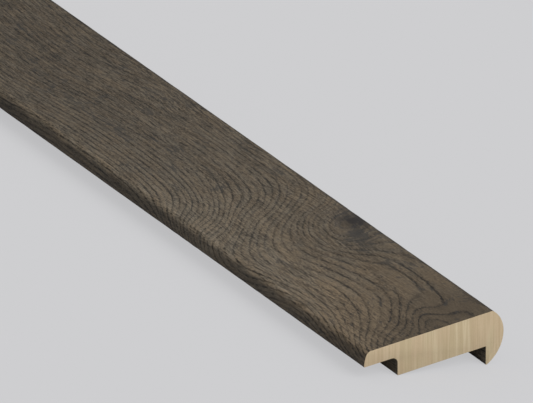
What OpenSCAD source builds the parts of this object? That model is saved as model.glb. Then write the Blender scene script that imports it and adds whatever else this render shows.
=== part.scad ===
// Overlapping stair nosing: one length of moulded hardwood that finishes the
// edge of a step. The foot is glued to the step, the nose laps over the riser
// and the lip at the back laps over the edge of the floor covering.
// Millimetres. X runs along the moulding, the nose points to -Y and Z is up.

/* [Length] */
// Length that the moulding is sold in
nosing_length = 1981; // [600:1:2440]

/* [Foot] */
// Thickness from the top face down to the underside of the foot
body_t = 18.5; // [15:0.1:24]
// Width of the foot, from the back of the nose to the rebate under the lip
foot_w = 52.3; // [40:0.1:75]

/* [Overlap lip] */
// Reach of the lip beyond the foot
lip_reach = 19.8; // [12:0.1:30]
// Thickness of the lip
lip_t = 8; // [6:0.1:10]
// Radius of the long curve that shapes the edge of the lip
lip_edge_r = 16; // [11:0.1:30]
// Radius of the round between that curve and the top face
lip_round_r = 3; // [1:0.1:4]
// Radius of the hollow corner between the lip and the foot
rebate_fillet_r = 3.5; // [1:0.1:4.5]

/* [Nose] */
// Reach of the nose beyond its flat back
nose_reach = 10.5; // [8:0.1:14]
// Drop of the nose below the underside of the foot
nose_drop = 10.4; // [5:0.1:16]
// Depth of the widest part of the nose below the top face
nose_belly_depth = 12.7; // [9:0.1:14]
// Radius of the nose above its widest part
nose_upper_r = 15.8; // [14.5:0.1:22]
// Width of the flat land at the lower tip of the nose
nose_land_w = 0.6; // [0.3:0.1:2]

/* [Hidden] */
$fn = 96;

stained_oak = [0.35, 0.32, 0.28];
// How far the blank and the cutters run past the finished shape
overrun = 2;

// The section is drawn level, in its own plane: x is the distance out of the
// nose from its flat back, and y is the height above the foot's underside.
top_y = body_t;
tip_y = -nose_drop;
lip_underside_y = body_t - lip_t;
lip_edge_x = -foot_w - lip_reach;
belly_y = top_y - nose_belly_depth;

// The lower curve of the nose leaves the widest part upright, as the upper one
// does, and ends at the land.
lower_reach = nose_reach - nose_land_w;
lower_drop = belly_y - tip_y;
nose_lower_r = (lower_reach * lower_reach + lower_drop * lower_drop) / (2 * lower_reach);
nose_upper_centre = [nose_reach - nose_upper_r, belly_y];
nose_lower_centre = [nose_reach - nose_lower_r, belly_y];

// The lip's edge leaves the underside upright on its long curve. The round
// above touches that curve from inside, and the top face.
lip_edge_centre = [lip_edge_x + lip_edge_r, lip_underside_y];
centres_apart = lip_edge_r - lip_round_r;
centres_rise = lip_t - lip_round_r;
centres_run = sqrt(centres_apart * centres_apart - centres_rise * centres_rise);
lip_round_centre = lip_edge_centre + [-centres_run, centres_rise];
// Both centres and the point where the curves touch lie on one line, at this
// angle.
touch_angle = atan2(centres_rise, -centres_run);

rebate_fillet_centre = [-foot_w - rebate_fillet_r, lip_underside_y - rebate_fillet_r];

// Unheld on a level floor, the moulding leans back on the tip of the nose and
// the back corner of the foot.
rest_tilt = atan(nose_drop / foot_w);

// How far out from the tip a point of the section lies, once it leans
function leaning_x(p) = p.x * cos(rest_tilt) - (p.y - tip_y) * sin(rest_tilt);

front_x = leaning_x(nose_lower_centre) + nose_lower_r;
back_x = leaning_x(lip_edge_centre) - lip_edge_r;
middle_x = (front_x + back_x) / 2;

module disc(centre, r) {
    translate(centre)
        circle(r = r);
}

module rectangle(low, high) {
    translate(low)
        square(high - low);
}

// The sawn blank, with stock left on beyond the nose and the lip, and in the
// corner of the rebate
module blank() {
    polygon([
        [lip_edge_x - overrun, top_y],
        [nose_reach + overrun, top_y],
        [nose_reach + overrun, tip_y],
        [0, tip_y],
        [0, 0],
        [-foot_w, 0],
        [-foot_w, rebate_fillet_centre.y],
        rebate_fillet_centre,
        [rebate_fillet_centre.x, lip_underside_y],
        [lip_edge_x - overrun, lip_underside_y]
    ]);
}

// What the cutters take off the nose. The upper curve lies within the lower
// one and touches it at the widest part.
module nose_waste() {
    outside_corner = [nose_reach + 2 * overrun, top_y + overrun];
    difference() {
        rectangle([0, belly_y], outside_corner);
        disc(nose_upper_centre, nose_upper_r);
    }
    difference() {
        rectangle([0, tip_y - overrun], outside_corner);
        disc(nose_lower_centre, nose_lower_r);
    }
}

// What the cutters take off the lip. The round lies within the long curve and
// touches it at the side.
module lip_waste() {
    difference() {
        polygon([
            lip_round_centre,
            lip_round_centre + lip_edge_r * [cos(touch_angle), sin(touch_angle)],
            lip_round_centre + [0, lip_edge_r]
        ]);
        disc(lip_round_centre, lip_round_r);
    }
    difference() {
        rectangle(
            [lip_edge_x - 2 * overrun, lip_underside_y - overrun],
            [lip_round_centre.x, top_y + overrun]);
        disc(lip_edge_centre, lip_edge_r);
    }
}

module section() {
    difference() {
        blank();
        nose_waste();
        lip_waste();
        disc(rebate_fillet_centre, rebate_fillet_r);
    }
}

module stair_nosing() {
    color(stained_oak)
        rotate([90, 0, -90])
            linear_extrude(height = nosing_length, center = true)
                translate([-middle_x, 0])
                    rotate(rest_tilt)
                        translate([0, -tip_y])
                            section();
}

stair_nosing();
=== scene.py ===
import math

import bmesh
import bpy
import numpy as np
from mathutils import Matrix, Vector


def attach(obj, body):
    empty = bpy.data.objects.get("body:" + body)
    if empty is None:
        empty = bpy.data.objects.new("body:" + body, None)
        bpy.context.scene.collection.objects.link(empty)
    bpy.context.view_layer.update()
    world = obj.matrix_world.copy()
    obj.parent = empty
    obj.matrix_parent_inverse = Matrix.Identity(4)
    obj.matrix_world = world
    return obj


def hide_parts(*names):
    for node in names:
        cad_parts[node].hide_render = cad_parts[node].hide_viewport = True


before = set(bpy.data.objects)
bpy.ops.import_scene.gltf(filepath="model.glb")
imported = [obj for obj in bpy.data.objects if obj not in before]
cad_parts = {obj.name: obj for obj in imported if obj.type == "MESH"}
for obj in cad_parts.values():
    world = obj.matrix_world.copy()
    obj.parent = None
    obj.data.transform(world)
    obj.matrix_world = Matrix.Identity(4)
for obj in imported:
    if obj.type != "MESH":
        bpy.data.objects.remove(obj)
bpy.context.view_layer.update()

# Sizes are in metres unless a comment says millimetres. The section is worked
# out level, with "out" the distance out of the nose from its flat back and "up"
# the height above the foot's underside, and is then laid down as it rests.
MM = 0.001

LENGTH = 1981 * MM
BODY_T = 18.5 * MM
FOOT_W = 52.3 * MM
LIP_REACH = 19.8 * MM
LIP_T = 8 * MM
LIP_EDGE_R = 16 * MM
LIP_ROUND_R = 3 * MM
REBATE_FILLET_R = 3.5 * MM
NOSE_REACH = 10.5 * MM
NOSE_DROP = 10.4 * MM
NOSE_BELLY_DEPTH = 12.7 * MM
NOSE_UPPER_R = 15.8 * MM
NOSE_LAND_W = 0.6 * MM

BELLY_UP = BODY_T - NOSE_BELLY_DEPTH
LIP_UNDERSIDE_UP = BODY_T - LIP_T
LIP_EDGE_OUT = -FOOT_W - LIP_REACH
LOWER_REACH = NOSE_REACH - NOSE_LAND_W
LOWER_RISE = BELLY_UP + NOSE_DROP
NOSE_LOWER_R = (LOWER_REACH ** 2 + LOWER_RISE ** 2) / (2 * LOWER_REACH)
ARRIS_OUT = NOSE_REACH - NOSE_UPPER_R + math.sqrt(NOSE_UPPER_R ** 2 - NOSE_BELLY_DEPTH ** 2)
LIP_ROUND_RUN = math.sqrt((LIP_EDGE_R - LIP_ROUND_R) ** 2 - (LIP_T - LIP_ROUND_R) ** 2)
REST_TILT = math.atan(NOSE_DROP / FOOT_W)


def lean(out, up):
    """How far out a point of the level section lies from the tip, once the piece leans."""
    return out * math.cos(REST_TILT) - (up + NOSE_DROP) * math.sin(REST_TILT)


FRONT = lean(NOSE_REACH - NOSE_LOWER_R, BELLY_UP) + NOSE_LOWER_R
BACK = lean(LIP_EDGE_OUT + LIP_EDGE_R, LIP_UNDERSIDE_UP) - LIP_EDGE_R
LAID_DOWN = (
    Matrix.Translation((0, (FRONT + BACK) / 2, 0))
    @ Matrix.Rotation(-REST_TILT, 4, "X")
    @ Matrix.Translation((0, 0, NOSE_DROP))
)
NEAR_END = -LENGTH / 2

# The view: the photographed end is at -X, seen from above and from the lip's
# side. The camera stands level with the level section, so it leans with it. The
# anchor is the top's point over the nose's back at that end, in pixels from the
# picture's upper left corner, and a pixel spans PIXEL there.
IMAGE_W, IMAGE_H = 533, 403
PIXEL = 0.4882 * MM
VIEW_TURN = math.radians(34.11)
VIEW_RISE = math.radians(28.58)
LENS = 1290
SENSOR = 36
ANCHOR_PIXEL = (486.2, 313.25)
NEAREST_SEEN, FARTHEST_SEEN = 0.1, 60


def set_camera():
    across = Vector((-math.sin(VIEW_TURN), -math.cos(VIEW_TURN), 0))
    back = Vector((
        -math.cos(VIEW_TURN) * math.cos(VIEW_RISE),
        math.sin(VIEW_TURN) * math.cos(VIEW_RISE),
        math.sin(VIEW_RISE),
    ))
    upward = back.cross(across)
    distance = LENS / SENSOR * IMAGE_W * PIXEL
    anchor = Vector((NEAR_END, 0, BODY_T))
    centre = (
        anchor
        - across * (ANCHOR_PIXEL[0] - IMAGE_W / 2) * PIXEL
        + upward * (ANCHOR_PIXEL[1] - IMAGE_H / 2) * PIXEL
    )
    turn = Matrix((across, upward, back)).transposed().to_4x4()
    camera = bpy.data.objects.new("camera", bpy.data.cameras.new("camera"))
    camera.matrix_world = LAID_DOWN @ Matrix.Translation(centre + back * distance) @ turn
    camera.data.lens = LENS
    camera.data.sensor_width = SENSOR
    camera.data.clip_start = NEAREST_SEEN
    camera.data.clip_end = FARTHEST_SEEN
    bpy.context.collection.objects.link(camera)
    bpy.context.scene.camera = camera


class Value:
    """A socket, with arithmetic that adds Math nodes."""

    def __init__(self, recipe, socket):
        self.recipe = recipe
        self.socket = socket

    def maths(self, operation, *values):
        return self.recipe.node("ShaderNodeMath", {"operation": operation}, dict(enumerate(values)))

    def __add__(self, other):
        return self.maths("ADD", self, other)

    def __sub__(self, other):
        return self.maths("SUBTRACT", self, other)

    def __mul__(self, other):
        return self.maths("MULTIPLY", self, other)

    def __truediv__(self, other):
        return self.maths("DIVIDE", self, other)

    def __pow__(self, other):
        return self.maths("POWER", self, other)

    def __radd__(self, other):
        return self.maths("ADD", other, self)

    def __rsub__(self, other):
        return self.maths("SUBTRACT", other, self)

    def __rmul__(self, other):
        return self.maths("MULTIPLY", other, self)

    def __rtruediv__(self, other):
        return self.maths("DIVIDE", other, self)

    def fraction(self):
        return self.maths("FRACT", self)

    def max(self, other):
        return self.maths("MAXIMUM", self, other)

    def beside(self, output):
        """Another output of the node that this one comes from."""
        return Value(self.recipe, self.socket.node.outputs[output])


# How deep a surface's fine relief is for a height of 1
BUMP_DEPTH = 0.1 * MM


class Recipe:
    """The nodes of one material, or of the world."""

    def __init__(self, owner):
        owner.use_nodes = True
        self.owner = owner
        self.tree = owner.node_tree
        self.tree.nodes.clear()

    def node(self, kind, settings=None, inputs=None, output=0):
        made = self.tree.nodes.new(kind)
        for name, value in (settings or {}).items():
            setattr(made, name, value)
        for name, value in (inputs or {}).items():
            if isinstance(value, Value):
                self.tree.links.new(value.socket, made.inputs[name])
            else:
                made.inputs[name].default_value = value
        return Value(self, made.outputs[output]) if made.outputs else None

    def blend(self, share, first, second):
        return self.node("ShaderNodeMix", {"data_type": "RGBA"}, {0: share, 6: first, 7: second}, 2)

    def multiply(self, colour, tint):
        return self.node("ShaderNodeVectorMath", {"operation": "MULTIPLY"}, {0: colour, 1: tint})

    def scale(self, colour, factor):
        return self.node("ShaderNodeVectorMath", {"operation": "SCALE"}, {0: colour, "Scale": factor})

    def clamp(self, value):
        return self.node("ShaderNodeClamp", None, {0: value})

    def ease(self, value, low, high, to_low=0.0, to_high=1.0):
        """A soft step from to_low to to_high, while the value goes from low to high."""
        return self.node(
            "ShaderNodeMapRange", {"interpolation_type": "SMOOTHSTEP"},
            {0: value, 1: low, 2: high, 3: to_low, 4: to_high})

    def noise(self, x, y, z, detail=2.0):
        place = self.node("ShaderNodeCombineXYZ", None, {0: x, 1: y, 2: z})
        return self.node(
            "ShaderNodeTexNoise", {"noise_dimensions": "3D"},
            {"Vector": place, "Scale": 1.0, "Detail": detail, "Roughness": 0.5})

    def parts(self, vector):
        """The three parts of a vector."""
        first = self.node("ShaderNodeSeparateXYZ", None, {0: vector})
        return first, first.beside(1), first.beside(2)

    def attribute(self, name):
        """The three parts of an attribute of the mesh."""
        return self.parts(self.node("ShaderNodeAttribute", {"attribute_name": name}, None, 1))

    def bump(self, strength, height):
        return self.node(
            "ShaderNodeBump", None, {"Strength": strength, "Distance": BUMP_DEPTH, "Height": height})

    def finish(self, colour, roughness, bump, gloss):
        """Gives the material its shader, with gloss the specular level."""
        shader = self.node("ShaderNodeBsdfPrincipled", None, {
            "Base Color": colour, "Roughness": roughness, "Normal": bump, "Specular IOR Level": gloss})
        self.node("ShaderNodeOutputMaterial", None, {"Surface": shader})
        return self.owner


def srgb(red, green, blue):
    """A colour as it is read off a screen, 0 to 255, in the values that a material takes."""
    def linear(part):
        part /= 255
        return part / 12.92 if part <= 0.04045 else ((part + 0.055) / 1.055) ** 2.4
    return (linear(red), linear(green), linear(blue), 1.0)


# Soft patches on the surface: how much each one adds in its middle, where that
# lies along the moulding from the near end and round the section, and its half
# length and half width, in millimetres. A place round the section is 0 on the top
# over the nose's back. It grows over the nose, and falls towards the lip and on
# underneath.

# How the growth rings of the oak swell and bend, by an amount in millimetres
SWELLINGS = [
    # the long arches by the near end, and the steep fall beyond the knot
    (50, 30, -80, 45, 55),
    (46, 118, -80, 36, 55),
    (-6, 45, 8, 40, 8),
    (-3, 50, -12, 22, 5),
    (-2, 42, -32, 12, 6),
    (-1, 52, -48, 20, 12),
    (-6, 60, -82, 20, 11),
    # the points that meet the sawn end
    (36, -14, -66, 22, 26),
    (7, -2, -28, 20, 6),
    (6, -6, -24, 18, 14),
    (3, 0, -13, 8, 5),
    (3, -2, -46, 8, 10),
    # the rings drawn round the knot
    (10, 108, -14, 14, 10),
    (6, 119, 0, 9, 9),
    (2, 128, -12, 8, 8),
    # the hollow beyond it, and the eye in it
    (-8, 160, -4, 22, 18),
    (-5, 158, -58, 26, 11),
    (4, 140, -78, 14, 8),
    (2, 158, -65, 14, 6),
    (-3, 158, -30, 14, 8),
    (1, 181, -38, 10, 5),
    # the nearly straight stretch and the long low rise after it
    (8, 220, -85, 90, 38),
    (-2, 210, -14, 16, 7),
    (-4, 278, 0, 24, 12),
    (12, 345, -40, 40, 40),
    (-3, 345, -38, 14, 8),
    (5, 395, -60, 45, 30),
    # the rest of the moulding
    (11, 640, -44, 120, 13),
    (-9, 905, -6, 110, 12),
    (14, 1160, -27, 150, 15),
    (7, 1385, -58, 36, 9),
    (-10, 1600, -40, 140, 14),
    (12, 1860, -18, 110, 13),
]

# How bold the rings are, at places along the moulding in millimetres
BOLDNESS = [
    (0, 0.95), (190, 0.95), (225, 0.75), (290, 0.6), (330, 0.5), (420, 0.5),
    (640, 0.85), (905, 0.65), (1385, 0.95), (1700, 0.65), (1981, 0.8),
]

# Where the rings are bolder or fainter than that, by a share of it
RING_PATCHES = [
    (1.00, 10, -9, 11, 9),
    (0.50, 15, -27, 12, 10),
    (0.60, 32, -5, 28, 6),
    (0.80, 56, -40, 14, 6),
    (-0.25, 60, -19, 40, 12),
    (-0.40, 86, -57, 50, 7),
    (-0.30, 145, -5, 27, 9),
    (0.20, 172, -37, 14, 7),
    (-0.25, 195, -33, 26, 9),
    (0.60, 205, -47, 10, 5),
    (0.75, 258, -57, 45, 9),
    (0.35, 312, -40, 24, 8),
    (0.30, 358, -20, 22, 16),
]
FAINTEST, BOLDEST = 0.15, 2.0

# Where the stain is lighter or darker, by a share of the colour
LIGHTER = [
    # broad areas
    (0.10, 95, -30, 110, 160),
    (0.24, 112, -54, 60, 13),
    (0.20, 90, -69, 75, 6),
    (0.05, 225, -20, 45, 40),
    (-0.08, 362, -20, 45, 28),
    # by the sawn end
    (-0.13, 2, -24, 14, 24),
    (-0.24, 8, -20, 12, 18),
    (-0.17, 12, -3, 20, 6),
    (-0.08, 14, -42, 18, 7),
    (-0.05, 16, -20, 18, 20),
    (-0.16, 28, -17, 9, 7),
    # between there and the knot
    (0.26, 50, -56, 34, 8),
    (0.14, 57, -20, 15, 5.5),
    (0.07, 60, -58, 22, 10),
    (0.10, 62, -42, 14, 6),
    (0.05, 62, -24, 16, 6),
    (0.07, 66, -51, 17, 2.2),
    # round the knot
    (-0.05, 92, -9, 12, 7),
    (-0.12, 104, -5, 7, 4.5),
    (-0.08, 108, -7, 16, 4),
    (0.06, 112, -14, 8, 3),
    (0.10, 132, -20, 24, 9),
    (0.18, 134, -54, 16, 12),
    (0.05, 148, -24, 5, 10),
    (0.07, 160, -6, 38, 14),
    # beyond it
    (0.24, 170, -35, 10, 5),
    (0.16, 170, -55, 22, 6),
    (0.05, 172, -14, 10, 5),
    (-0.08, 181, -43, 16, 4),
    (0.06, 203, -1, 10, 6),
    (0.09, 205, -65.5, 55, 2.2),
    (0.06, 232, -3, 22, 6),
    (0.08, 250, -66, 45, 4),
    (-0.07, 250, -56, 12, 4),
    (-0.06, 264, -28, 14, 5),
    (-0.16, 270, -42, 9, 6),
    (-0.07, 358, -36, 14, 5),
]

# Where it is warmer or cooler
WARMER = [
    (0.2, 95, -30, 110, 160),
    (0.4, 2, -24, 14, 24),
    (1.0, 15, -30, 32, 60),
    (0.6, 18, -48, 25, 20),
    (0.7, 20, -8, 22, 12),
    (0.7, 40, -50, 30, 12),
    (1.0, 57, -20, 15, 5.5),
    (0.35, 110, -35, 22, 14),
    (-0.3, 120, -61, 50, 8),
    (0.35, 155, -3, 14, 6),
    (0.2, 160, -6, 38, 14),
    (0.35, 237, -3, 8, 5),
    (0.3, 330, -30, 60, 60),
    (0.3, 375, -15, 30, 20),
]

# Where it is smoky: each spot is a patch that adds 1
SMOKE_SPOTS = [
    (21, -10, 2.2, 3), (62, -3, 3.5, 3), (68, -10, 5, 2), (89, -10, 1.6, 4.5), (94.5, -9, 1.6, 5),
    (95, -53, 6, 2.5), (97, -9, 8, 4.5), (101, -9, 2, 4), (104, -3, 7, 3.5), (178, -3, 3.8, 2.1),
    (179, -37, 1.6, 4.6), (179, -37, 1.5, 4.0), (192, -53, 3, 2.8), (210, -2, 4.5, 2.8),
    (210, -43, 4.5, 2.8), (220, -58, 3, 2.8), (222, -15, 3, 2.8), (225, -33, 3.8, 3.5),
    (240, -35, 4.5, 1.8), (250, -45, 6, 2.8), (258, -44, 4, 2.2), (265, -22, 3.8, 2.8),
    (268, -43, 4, 2.2), (268, -7, 4.5, 2.1), (279, -47, 5, 1.8), (283, -8, 5.2, 2.4),
    (288, -39, 2.4, 1.6), (291, -31, 2.4, 3.4), (293, -46, 5.2, 2.8), (302, -45, 4, 1.6),
    (310, -5, 3, 2.8), (312, -50, 3.8, 4.2), (318, -36, 4, 1.6), (328, -44, 7.5, 2.4),
    (343, -38, 3, 2.8), (352, -12, 5, 2.4), (365, -35, 4.5, 2.1), (375, -24, 6, 2.1),
]

# Farther on, and under the photographed stretch, patches of the same kinds are
# strewn: how many, and the range that each of their numbers is drawn from. A tone
# is lighter by its first number and warmer by its second.
STREWN_TONES = 14
TONE_RANGES = [(-0.08, 0.10), (-0.3, 0.8), (460, 1960), (-70, 5), (30, 90), (8, 30)]
STREWN_SMOKE = [
    (150, [(0.5, 1.1), (395, 1981), (-150, 50), (2.5, 7.5), (1.8, 4.2)]),
    (14, [(0.5, 1.1), (0, 395), (-150, -85), (2.5, 7.5), (1.8, 4.2)]),
]


def sum_of_patches(patches, along, round_):
    total = np.zeros_like(along)
    for amount, middle_along, middle_round, half_length, half_width in patches:
        off_along = (along - middle_along) / half_length
        off_round = (round_ - middle_round) / half_width
        total += amount * np.exp(-0.5 * (off_along ** 2 + off_round ** 2))
    return total


def ring_field(along, round_):
    """Which growth ring shows at a place on the surface, in millimetres."""
    return round_ + sum_of_patches(SWELLINGS, along, round_)


def ring_slope(along, round_):
    """How much the field rises in a millimetre along the moulding, and how steep it is in all."""
    lengthwise = ring_field(along + 0.5, round_) - ring_field(along - 0.5, round_)
    crosswise = ring_field(along, round_ + 0.5) - ring_field(along, round_ - 0.5)
    return lengthwise, np.hypot(lengthwise, crosswise)


def ring_boldness(along, round_):
    """How strongly the rings show at a place, where 1 is fully."""
    change = 1 + sum_of_patches(RING_PATCHES, along, round_)
    return np.interp(along, *zip(*BOLDNESS)) * np.clip(change, FAINTEST, BOLDEST)


def stain_take(along, round_):
    """How much lighter, warmer and smokier the stain is at a place."""
    draw = np.random.default_rng(11)

    def drawn(ranges):
        return [draw.uniform(low, high) for low, high in ranges]

    lighter = list(LIGHTER)
    warmer = list(WARMER)
    smokier = [(1.0, *spot) for spot in SMOKE_SPOTS]
    for _ in range(STREWN_TONES):
        light, warm, *place = drawn(TONE_RANGES)
        lighter.append((light, *place))
        warmer.append((warm, *place))
    for count, ranges in STREWN_SMOKE:
        smokier += [drawn(ranges) for _ in range(count)]
    return [sum_of_patches(patches, along, round_) for patches in (lighter, warmer, smokier)]


# Each corner of the section is eased, and the last edge of its outline is short
EASE = 0.3 * MM
CLOSING_GAP = 0.04 * MM


def section_face(bm):
    """The section as one face at the near end, with its corners eased."""
    def at(out, up):
        return Vector((NEAR_END, -out, up))

    def line_to(vert, out, up, steps):
        step = (at(out, up) - vert.co) / steps
        for _ in range(steps):
            vert = bmesh.ops.extrude_vert_indiv(bm, verts=[vert])["verts"][0]
            bmesh.ops.translate(bm, verts=[vert], vec=step)
        return vert

    def arc(vert, out, up, degrees, steps):
        made = bmesh.ops.spin(
            bm, geom=[vert], cent=at(out, up), axis=(1, 0, 0), angle=math.radians(degrees), steps=steps,
            use_duplicate=False, use_merge=False)
        return next(part for part in made["geom_last"] if isinstance(part, bmesh.types.BMVert))

    lower_out = NOSE_REACH - NOSE_LOWER_R
    upper_out = NOSE_REACH - NOSE_UPPER_R
    edge_out = LIP_EDGE_OUT + LIP_EDGE_R
    round_out = edge_out - LIP_ROUND_RUN
    fillet_out = -FOOT_W - REBATE_FILLET_R
    touch = math.degrees(math.atan2(LIP_T - LIP_ROUND_R, LIP_ROUND_RUN))
    lower_turn = math.degrees(math.asin(LOWER_RISE / NOSE_LOWER_R))
    upper_turn = math.degrees(math.asin(NOSE_BELLY_DEPTH / NOSE_UPPER_R))
    start = bmesh.ops.create_vert(bm, co=at(0, 0))["vert"][0]
    tip_back = line_to(start, 0, -NOSE_DROP, steps=5)
    tip_front = line_to(tip_back, NOSE_LAND_W, -NOSE_DROP, steps=1)
    belly = arc(tip_front, lower_out, BELLY_UP, -lower_turn, steps=18)
    arris = arc(belly, upper_out, BELLY_UP, -upper_turn, steps=18)
    top = line_to(arris, round_out, BODY_T, steps=80)
    touching = arc(top, round_out, BODY_T - LIP_ROUND_R, touch - 90, steps=6)
    lip_foot = arc(touching, edge_out, LIP_UNDERSIDE_UP, -touch, steps=8)
    hollow = line_to(lip_foot, fillet_out, LIP_UNDERSIDE_UP, steps=5)
    wall = arc(hollow, fillet_out, LIP_UNDERSIDE_UP - REBATE_FILLET_R, 90, steps=6)
    heel = line_to(wall, -FOOT_W, 0, steps=3)
    end = line_to(heel, -CLOSING_GAP, 0, steps=13)
    bm.edges.new((end, start))
    bmesh.ops.contextual_create(bm, geom=list(bm.edges))
    bmesh.ops.bevel(
        bm, geom=[tip_back, tip_front, arris, lip_foot, heel], offset=EASE, offset_type="OFFSET",
        segments=3, profile=0.5, affect="VERTICES", material=-1)
    return list(bm.faces)[0]


def measure_round(face, layer):
    """Writes the way round the section into each corner of it, in millimetres."""
    corners = list(face.loops)
    first = min(corners, key=lambda corner: (corner.vert.co - Vector((NEAR_END, 0, 0))).length)
    down_the_nose = first.link_loop_next.vert.co.z < -CLOSING_GAP
    arris = Vector((NEAR_END, -ARRIS_OUT, BODY_T))
    way, way_to_arris, nearest = 0.0, 0.0, LENGTH
    corner = first
    for _ in corners:
        corner.vert[layer] = way
        if (corner.vert.co - arris).length < nearest:
            way_to_arris = way
            nearest = (corner.vert.co - arris).length
        following = corner.link_loop_next if down_the_nose else corner.link_loop_prev
        way += (following.vert.co - corner.vert.co).length
        corner = following
    for corner in corners:
        corner.vert[layer] = (ARRIS_OUT + way_to_arris - corner.vert[layer]) / MM


# Loops of faces along the moulding, as length and count: close together where
# the figure is wild, and wider apart beyond it
WILD_LENGTH, CALMER_LENGTH = 204 * MM, 196 * MM
STRETCHES = [(WILD_LENGTH, 204), (CALMER_LENGTH, 98), (LENGTH - WILD_LENGTH - CALMER_LENGTH, 232)]
END_EASE = 0.2 * MM
SAWN = 1


def nosing_mesh():
    """The level moulding, with its saw edges slightly broken and the sawn faces marked."""
    bm = bmesh.new()
    layer = bm.verts.layers.float.new("round")
    face = section_face(bm)
    measure_round(face, layer)
    rim = list(face.edges)
    for length, steps in STRETCHES:
        made = bmesh.ops.extrude_edge_only(bm, edges=rim)["geom"]
        rim = [part for part in made if isinstance(part, bmesh.types.BMEdge)]
        moved = [part for part in made if isinstance(part, bmesh.types.BMVert)]
        bmesh.ops.translate(bm, verts=moved, vec=(length, 0, 0))
        spans = [edge for vert in moved for edge in vert.link_edges if edge.calc_length() > length / 2]
        bmesh.ops.subdivide_edges(bm, edges=spans, cuts=steps - 1, use_grid_fill=True)
    bmesh.ops.contextual_create(bm, geom=rim)
    bmesh.ops.recalc_face_normals(bm, faces=bm.faces)
    sawn = [face for face in bm.faces if len(face.verts) > 4]
    saw_edges = [edge for face in sawn for edge in face.edges]
    broken = bmesh.ops.bevel(
        bm, geom=saw_edges, offset=END_EASE, offset_type="OFFSET", segments=2, profile=0.5,
        affect="EDGES", material=-1)
    for face in bm.faces:
        if len(face.verts) > 4:
            face.material_index = SAWN
    for face in broken["faces"]:
        face.material_index = SAWN
    return bm


# The planed faces rise and fall a little along the grain, and the wood stands
# proud round the knot. Waves are height, length along and length across. Heights,
# lengths and places are in millimetres.
WAVES = [(0.045, 46.0, 8.0), (0.035, 27.0, 5.0), (0.025, 15.0, 3.4)]
WAVES_OF_A_KIND = 4
KNOT_ALONG, KNOT_ROUND = 114.5, 0.6
KNOT_RISE = 0.18
KNOT_RISE_LENGTH, KNOT_RISE_WIDTH = 15, 9
KNOT_RIPPLE = 2.6

# The relief dies out at the ends and on the faces that seat on the step. The
# millimetres are where it starts, is whole, is still whole and has gone.
RELIEF_FADE = 4
RELIEF_ALONG = (0, RELIEF_FADE, LENGTH / MM - RELIEF_FADE, LENGTH / MM)
RELIEF_ROUND = (-92, -86, 30, 38)
SHARP = math.radians(30)


def planed_relief(along, field, round_):
    """Height of the surface over the flat section, in millimetres."""
    draw = np.random.default_rng(7)
    relief = np.zeros_like(along)
    for height, length, width in WAVES:
        for _ in range(WAVES_OF_A_KIND):
            start = draw.uniform(0, 2 * math.pi)
            stretch_along, stretch_across = draw.uniform(0.7, 1.4, 2)
            turns = along / length * stretch_along + field / width * stretch_across
            relief += height / WAVES_OF_A_KIND * np.sin(2 * math.pi * turns + start)
    off_knot = np.hypot((along - KNOT_ALONG) / KNOT_RISE_LENGTH, (round_ - KNOT_ROUND) / KNOT_RISE_WIDTH)
    relief += KNOT_RISE * np.exp(-off_knot ** 2) * np.cos(KNOT_RIPPLE * off_knot)
    fade = (0, 1, 1, 0)
    return relief * np.interp(along, RELIEF_ALONG, fade) * np.interp(round_, RELIEF_ROUND, fade)


def store(mesh, name, *numbers):
    """Keeps three numbers for each vertex, which the stained oak reads."""
    kept = mesh.attributes.new(name, "FLOAT_VECTOR", "POINT")
    kept.data.foreach_set("vector", np.stack(numbers, 1).astype(np.float32).ravel())


def build_nosing():
    bm = nosing_mesh()
    mesh = bpy.data.meshes.new("nosing")
    bm.to_mesh(mesh)
    bm.free()
    count = len(mesh.vertices)
    places = np.zeros(count * 3, np.float32)
    normals = np.zeros(count * 3, np.float32)
    round_ = np.zeros(count, np.float32)
    mesh.vertices.foreach_get("co", places)
    mesh.vertices.foreach_get("normal", normals)
    mesh.attributes["round"].data.foreach_get("value", round_)
    mesh.attributes.remove(mesh.attributes["round"])
    along = (places[::3] - NEAR_END) / MM
    field = ring_field(along, round_)
    relief = planed_relief(along, field, round_)
    places += normals * np.repeat(relief, 3) * MM
    mesh.vertices.foreach_set("co", places)
    store(mesh, "grain", along, field, round_)
    store(mesh, "slope", *ring_slope(along, round_), ring_boldness(along, round_))
    store(mesh, "stain", *stain_take(along, round_))
    mesh.transform(LAID_DOWN)
    mesh.update()
    for polygon in mesh.polygons:
        polygon.use_smooth = True
    mesh.set_sharp_from_angle(angle=SHARP)
    nosing = bpy.data.objects.new("nosing", mesh)
    bpy.context.collection.objects.link(nosing)
    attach(nosing, "root")
    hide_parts("stair_nosing")
    return nosing


# The step from one growth ring to the next, and the reach of the knot's stain
# along and round, in millimetres
RING_STEP = 2.6
KNOT_STAIN_LENGTH, KNOT_STAIN_WIDTH = 11, 8.5

# Where in a step a ring starts, as a share, and how far apart two noises are read
RING_START_SHARE = 0.05
SEED_GAP = 7.3

DARK_STAIN = srgb(35, 31, 25)
PALE_STAIN = srgb(104, 95, 81.5)
COOL_TINT = (0.955, 1.0, 1.05, 1.0)
WARM_TINT = (1.105, 1.0, 0.875, 1.0)
SMOKE = srgb(49, 48, 46)
KNOT_EDGE = srgb(56, 53, 52)
KNOT_HEART = srgb(36, 33, 32)

# Where the texture calms and the painted highlight and painted shade change round
# the section, in millimetres, each as the start and end of a soft step
CALM_LIP_ENDS = (-71.5, -69.5)
UNDERSIDE_ENDS = (-84.0, -80.0)
LIP_SIDE_SHADE_ENDS = (-72.4, -71.2)
HIGHLIGHT_STARTS = (-72.0, -69.6)
HIGHLIGHT_ENDS = (-68.2, -67.2)
NOSE_FRONT_SHADE_STARTS = (3.3, 4.2)
NOSE_TIP_STARTS = (38.0, 39.5)


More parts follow.
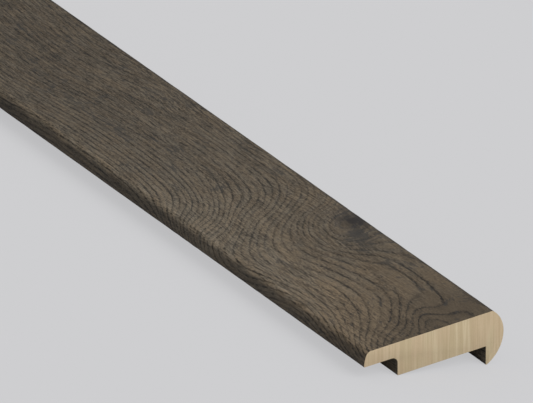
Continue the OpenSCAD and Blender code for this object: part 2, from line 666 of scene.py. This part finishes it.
class Oak(Recipe):
    """The nodes of the stained oak, and what they read off the mesh."""

    def __init__(self, material):
        super().__init__(material)
        self.along, self.field, self.round = self.attribute("grain")
        self.slope, self.steep, self.bold = self.attribute("slope")
        self.light, self.warm, self.smoke = self.attribute("stain")
        drift = self.noise(self.along / 60, self.round / 22, 0.0, 1) - 0.5
        self.straight = self.round + drift * 7

    def fibres(self, length, width, seed, detail=2.0):
        """Straight streaks along the moulding, of a length and width in millimetres."""
        return self.noise(self.along / length, self.straight / width, seed * SEED_GAP, detail)

    def figure(self, length, width, seed, detail=2.0):
        """Streaks that follow the growth rings, of a length and width in millimetres."""
        depth = self.round / (length * 1.5) + seed * SEED_GAP
        return self.noise(self.along / length, self.field / width, depth, detail)


def ring_rows(oak):
    """The rows of pores where each growth ring starts, and how dark the rings are in all."""
    # a row sets in sharply and then fades, the fibres draw it out into teeth, and
    # it is stronger in places
    teeth = (oak.fibres(2.2, 0.45, 1) - 0.5) * 3.2
    ragged = (oak.figure(4.0, 1.3, 2, 4) - 0.5) * 0.3
    turn = ((oak.field + oak.slope * teeth) / RING_STEP + ragged + RING_START_SHARE).fraction()
    width = 0.45 + oak.steep * 0.55
    onset = oak.ease(turn, 1 - width * 0.20, 1 - width * 0.05)
    fading = oak.ease(turn, 0.0, width * 0.32, 1.0, 0.0)
    row = onset.max(fading)
    strength = oak.ease(oak.figure(26, 1.8, 3), 0.34, 0.62, 0.40, 1.05)
    closeness = oak.ease(oak.steep, 0.12, 0.5, 0.3, 1.0)
    dashes = oak.ease(oak.fibres(2.2, 0.5, 8, 1), 0.37, 0.62, 0.35, 1.35)
    season = oak.ease(turn, 0.0, 0.55, 1.0, 0.0)
    dark = (row * strength * closeness * dashes * 0.8 + season * 0.2) * oak.bold
    return row, dark


def wood_tone(oak, rings, pores):
    """How light the wood is between the dark stain and the pale, from its fibres, pores and rings."""
    flecks = oak.fibres(1.5, 0.65, 4, 1) - 0.5
    hairs = oak.fibres(6.5, 0.58, 5) - 0.5
    threads = oak.fibres(13, 0.9, 6) - 0.5
    pale = oak.ease(oak.fibres(8, 0.42, 10), 0.57, 0.68)
    broad = oak.noise(oak.along / 38, oak.round / 12, 7.0, 3) - 0.5
    # the surface is calmer between wide rings and on the lip's edge
    calm = oak.ease(oak.steep, 0.1, 0.6, 0.7, 1.0) * oak.ease(oak.round, *CALM_LIP_ENDS, 0.75, 1.0)
    texture = flecks * 1.2 + hairs * (2.6 - oak.bold * 1.3) + pale * 0.26 - pores * 0.36
    ground = 0.44 + texture * calm + threads * 0.4 + broad * 0.6
    return ground - (rings - oak.bold * 0.27) * 0.68


def stain_colour(oak, tone):
    hue = oak.ease(oak.figure(11, 3.0, 8), 0.34, 0.66, -0.6, 0.6)
    warmth = oak.clamp(0.45 + (oak.warm + hue) * 0.32)
    colour = oak.blend(oak.clamp(tone), DARK_STAIN, PALE_STAIN)
    colour = oak.multiply(colour, oak.blend(warmth, COOL_TINT, WARM_TINT))
    return oak.scale(colour, 1 + oak.light)


def add_smoke_and_knot(oak, colour):
    """Smoky grey patches where the stain has gone in deeper, and the knot's dark heart and smoky edge."""
    wisps = oak.figure(4.0, 0.8, 9, 3)
    patch = oak.ease(wisps + oak.smoke * 0.15, 0.61, 0.68)
    colour = oak.blend(patch * 0.62, colour, SMOKE)
    wander = (oak.noise(oak.along / 5, oak.round / 3.5, 9.0, 3) - 0.5) * 1.5
    off_along = (oak.along - KNOT_ALONG) / KNOT_STAIN_LENGTH
    off_round = (oak.round - KNOT_ROUND) / KNOT_STAIN_WIDTH
    away = (off_along * off_along + off_round * off_round) ** 0.5 + wander
    edge = oak.ease(away, 0.9, 2.1, 1.0, 0.0) * oak.ease(wisps, 0.40, 0.58)
    heart = oak.ease(away, 0.15, 1.15, 1.0, 0.0)
    colour = oak.blend(edge * 0.45, colour, KNOT_EDGE)
    return oak.blend(heart * 0.9, colour, KNOT_HEART)


def paint_edge_highlight_and_shade(oak, colour):
    """Painted light and shade: a painted highlight along the lip's top edge, and painted shade on its side,
    on the nose's front and underneath.
    """
    waving = oak.round + (oak.noise(oak.along / 13, 0.0, 10.0) - 0.5) * 2.2
    # painted highlight: the lip's top edge is lightened where light would catch its round
    painted_highlight = oak.ease(waving, *HIGHLIGHT_STARTS) * oak.ease(oak.round, *HIGHLIGHT_ENDS, 1.0, 0.0)
    lip_side_shade = oak.ease(waving, *LIP_SIDE_SHADE_ENDS, 1.0, 0.0)
    front = oak.ease(oak.round, *NOSE_FRONT_SHADE_STARTS)
    outside = oak.ease(oak.round, *UNDERSIDE_ENDS) * oak.ease(oak.round, *NOSE_TIP_STARTS, 1.0, 0.0)
    # painted shade: the lip's side and the nose's front are darkened, and the underside and rebate walls by
    # a quarter, where light falls away
    darker = (lip_side_shade * 0.36 + front * 0.45) * outside + (1 - outside) * 0.25
    return oak.scale(colour, (1 + painted_highlight * 0.24) * (1 - darker))


def stained_oak():
    """Dark grey-brown stained oak under a low-sheen lacquer."""
    oak = Oak(bpy.data.materials.new("stained oak"))
    row, rings = ring_rows(oak)
    pores = oak.ease(oak.fibres(1.8, 0.36, 7, 1), 0.61, 0.68) * (0.5 + row * 0.5)
    tone = wood_tone(oak, rings, pores)
    colour = stain_colour(oak, tone)
    colour = add_smoke_and_knot(oak, colour)
    colour = paint_edge_highlight_and_shade(oak, colour)
    bump = oak.bump(0.4, tone * 0.6 - row * 0.5 - pores * 0.5)
    return oak.finish(colour, 0.56 + pores * 0.15 - row * 0.05, bump, gloss=0.17)


PALE_WOOD = srgb(196, 180, 149)
DEEP_WOOD = srgb(184, 167, 135)
WARM_WOOD = srgb(190, 168, 139)
STREAK = srgb(172, 153, 122)
SPECK = srgb(150, 128, 96)


def sawn_wood():
    """Bare pale wood where the moulding is cut, with upright streaks."""
    wood = Recipe(bpy.data.materials.new("bare sawn wood"))
    object_place = wood.node("ShaderNodeTexCoord", None, None, "Object")
    level = wood.node("ShaderNodeMapping", {"vector_type": "POINT"}, {
        "Vector": object_place, "Rotation": (REST_TILT, 0, 0), "Scale": (1 / MM, 1 / MM, 1 / MM)})
    _, across, up = wood.parts(level)
    deep = wood.ease(wood.noise(across / 3.4, up / 60, 1.0), 0.36, 0.64)
    streak = wood.ease(wood.noise(across / 0.9, up / 30, 2.0), 0.38, 0.66)
    warm = wood.ease(wood.noise(across / 8, up / 30, 3.0, 1), 0.4, 0.6)
    speck = wood.ease(wood.noise(across / 0.5, up / 1.1, 4.0), 0.60, 0.75)
    colour = wood.blend(deep, PALE_WOOD, DEEP_WOOD)
    colour = wood.blend(warm * 0.6, colour, WARM_WOOD)
    colour = wood.blend(streak * 0.5, colour, STREAK)
    colour = wood.blend(speck * 0.25, colour, SPECK)
    bump = wood.bump(0.3, 1 - streak * 0.5 - speck)
    return wood.finish(colour, 0.8, bump, gloss=0.2)


# The light and the floor. The floor glows by a share where the camera sees it,
# which makes the shadow soft, and by a small one in a gloss.
BACKDROP = srgb(206, 206, 208)
SKY = 0.5
SUN = 0.62
SUN_FROM = (-0.62, -0.25, 0.75)
SUN_SPREAD = math.radians(50)
GLOW_SHARE = 0.8
GLOSS_SHARE = 0.1
FLOOR_HALF_SIZE = 150


def seen_directly(recipe):
    return recipe.node("ShaderNodeLightPath", None, None, "Is Camera Ray")


def seen_in_gloss(recipe):
    """1 for what shows in a gloss or through glass, and 0 for the rest."""
    glossy = recipe.node("ShaderNodeLightPath", None, None, "Is Glossy Ray")
    return glossy.max(glossy.beside("Is Transmission Ray"))


def studio_world():
    world = bpy.data.worlds.new("studio")
    studio = Recipe(world)
    lit = studio.node("ShaderNodeBackground", None, {"Color": (1, 1, 1, 1), "Strength": SKY})
    backdrop = studio.node("ShaderNodeBackground", None, {"Color": BACKDROP})
    seen = seen_directly(studio).max(seen_in_gloss(studio))
    either = studio.node("ShaderNodeMixShader", None, {0: seen, 1: lit, 2: backdrop})
    studio.node("ShaderNodeOutputWorld", None, {"Surface": either})
    return world


def window_light():
    lamp = bpy.data.lights.new("window", "SUN")
    lamp.energy = SUN * math.pi
    lamp.angle = SUN_SPREAD
    window = bpy.data.objects.new("window", lamp)
    window.rotation_mode = "QUATERNION"
    window.rotation_quaternion = Vector(SUN_FROM).to_track_quat("Z", "Y")
    bpy.context.collection.objects.link(window)


def pale_floor():
    bm = bmesh.new()
    bmesh.ops.create_grid(bm, x_segments=1, y_segments=1, size=FLOOR_HALF_SIZE)
    mesh = bpy.data.meshes.new("floor")
    bm.to_mesh(mesh)
    bm.free()
    floor = bpy.data.objects.new("floor", mesh)
    bpy.context.collection.objects.link(floor)
    pale = Recipe(bpy.data.materials.new("pale floor"))
    falling = SKY + SUN * Vector(SUN_FROM).normalized().z
    tint = tuple(part / falling for part in BACKDROP[:3]) + (1.0,)
    matte = pale.node("ShaderNodeBsdfDiffuse", None, {"Color": tint})
    glow = pale.node("ShaderNodeEmission", None, {"Color": BACKDROP})
    share = seen_directly(pale) * GLOW_SHARE + seen_in_gloss(pale) * GLOSS_SHARE
    both = pale.node("ShaderNodeMixShader", None, {0: share, 1: matte, 2: glow})
    pale.node("ShaderNodeOutputMaterial", None, {"Surface": both})
    mesh.materials.append(pale.owner)


bpy.context.scene.view_settings.view_transform = "Standard"
bpy.context.scene.world = studio_world()
set_camera()
window_light()
pale_floor()
nosing = build_nosing()
nosing.data.materials.append(stained_oak())
nosing.data.materials.append(sawn_wood())
